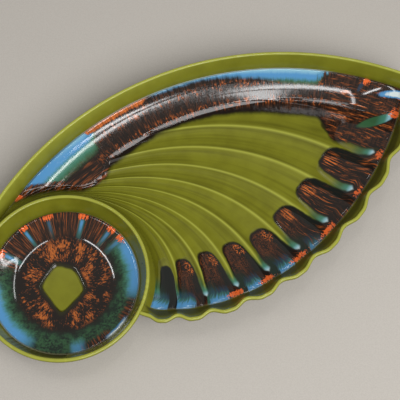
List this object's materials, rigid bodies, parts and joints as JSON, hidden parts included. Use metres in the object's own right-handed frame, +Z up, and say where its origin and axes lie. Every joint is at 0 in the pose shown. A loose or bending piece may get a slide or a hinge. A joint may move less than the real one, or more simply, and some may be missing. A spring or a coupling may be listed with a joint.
{
  "type": "chip and dip platter",
  "caption": "Wing-shaped fluted earthenware serving tray with a scalloped edge and a round dip well in its corner, lined with olive glaze under poured brown drip glazes.",
  "frame": {"origin": "middle of the bounding box in plan, on the surface that the foot rings stand on", "axes": "+Z up, +X from the dip well towards the tip of the tray, +Y towards the long curved leading edge"},
  "size_m": [0.3998, 0.2952, 0.036],
  "materials": {
    "glazed_clay": "slip-cast earthenware with a thin glossy olive glaze, bare cream clay on the foot rings",
    "olive_glaze": "glossy olive green glaze, thinner and brighter on the ridges",
    "drip_glaze": "glossy running glaze, brown and black with orange mottles, teal and pale blue"
  },
  "bodies": {
    "root": {"clay_body": "glazed_clay", "tray_lining_glaze": "olive_glaze", "well_lining_glaze": "olive_glaze", "well_drip_glaze": "drip_glaze", "leading_drip_glaze": "drip_glaze", "scallop_drip_glaze_1": "drip_glaze", "scallop_drip_glaze_2": "drip_glaze", "scallop_drip_glaze_3": "drip_glaze", "scallop_drip_glaze_4": "drip_glaze", "scallop_drip_glaze_5": "drip_glaze", "scallop_drip_glaze_6": "drip_glaze", "scallop_drip_glaze_7": "drip_glaze", "scallop_drip_glaze_8": "drip_glaze", "scallop_drip_glaze_9": "drip_glaze"}
  },
  "joints": []
}
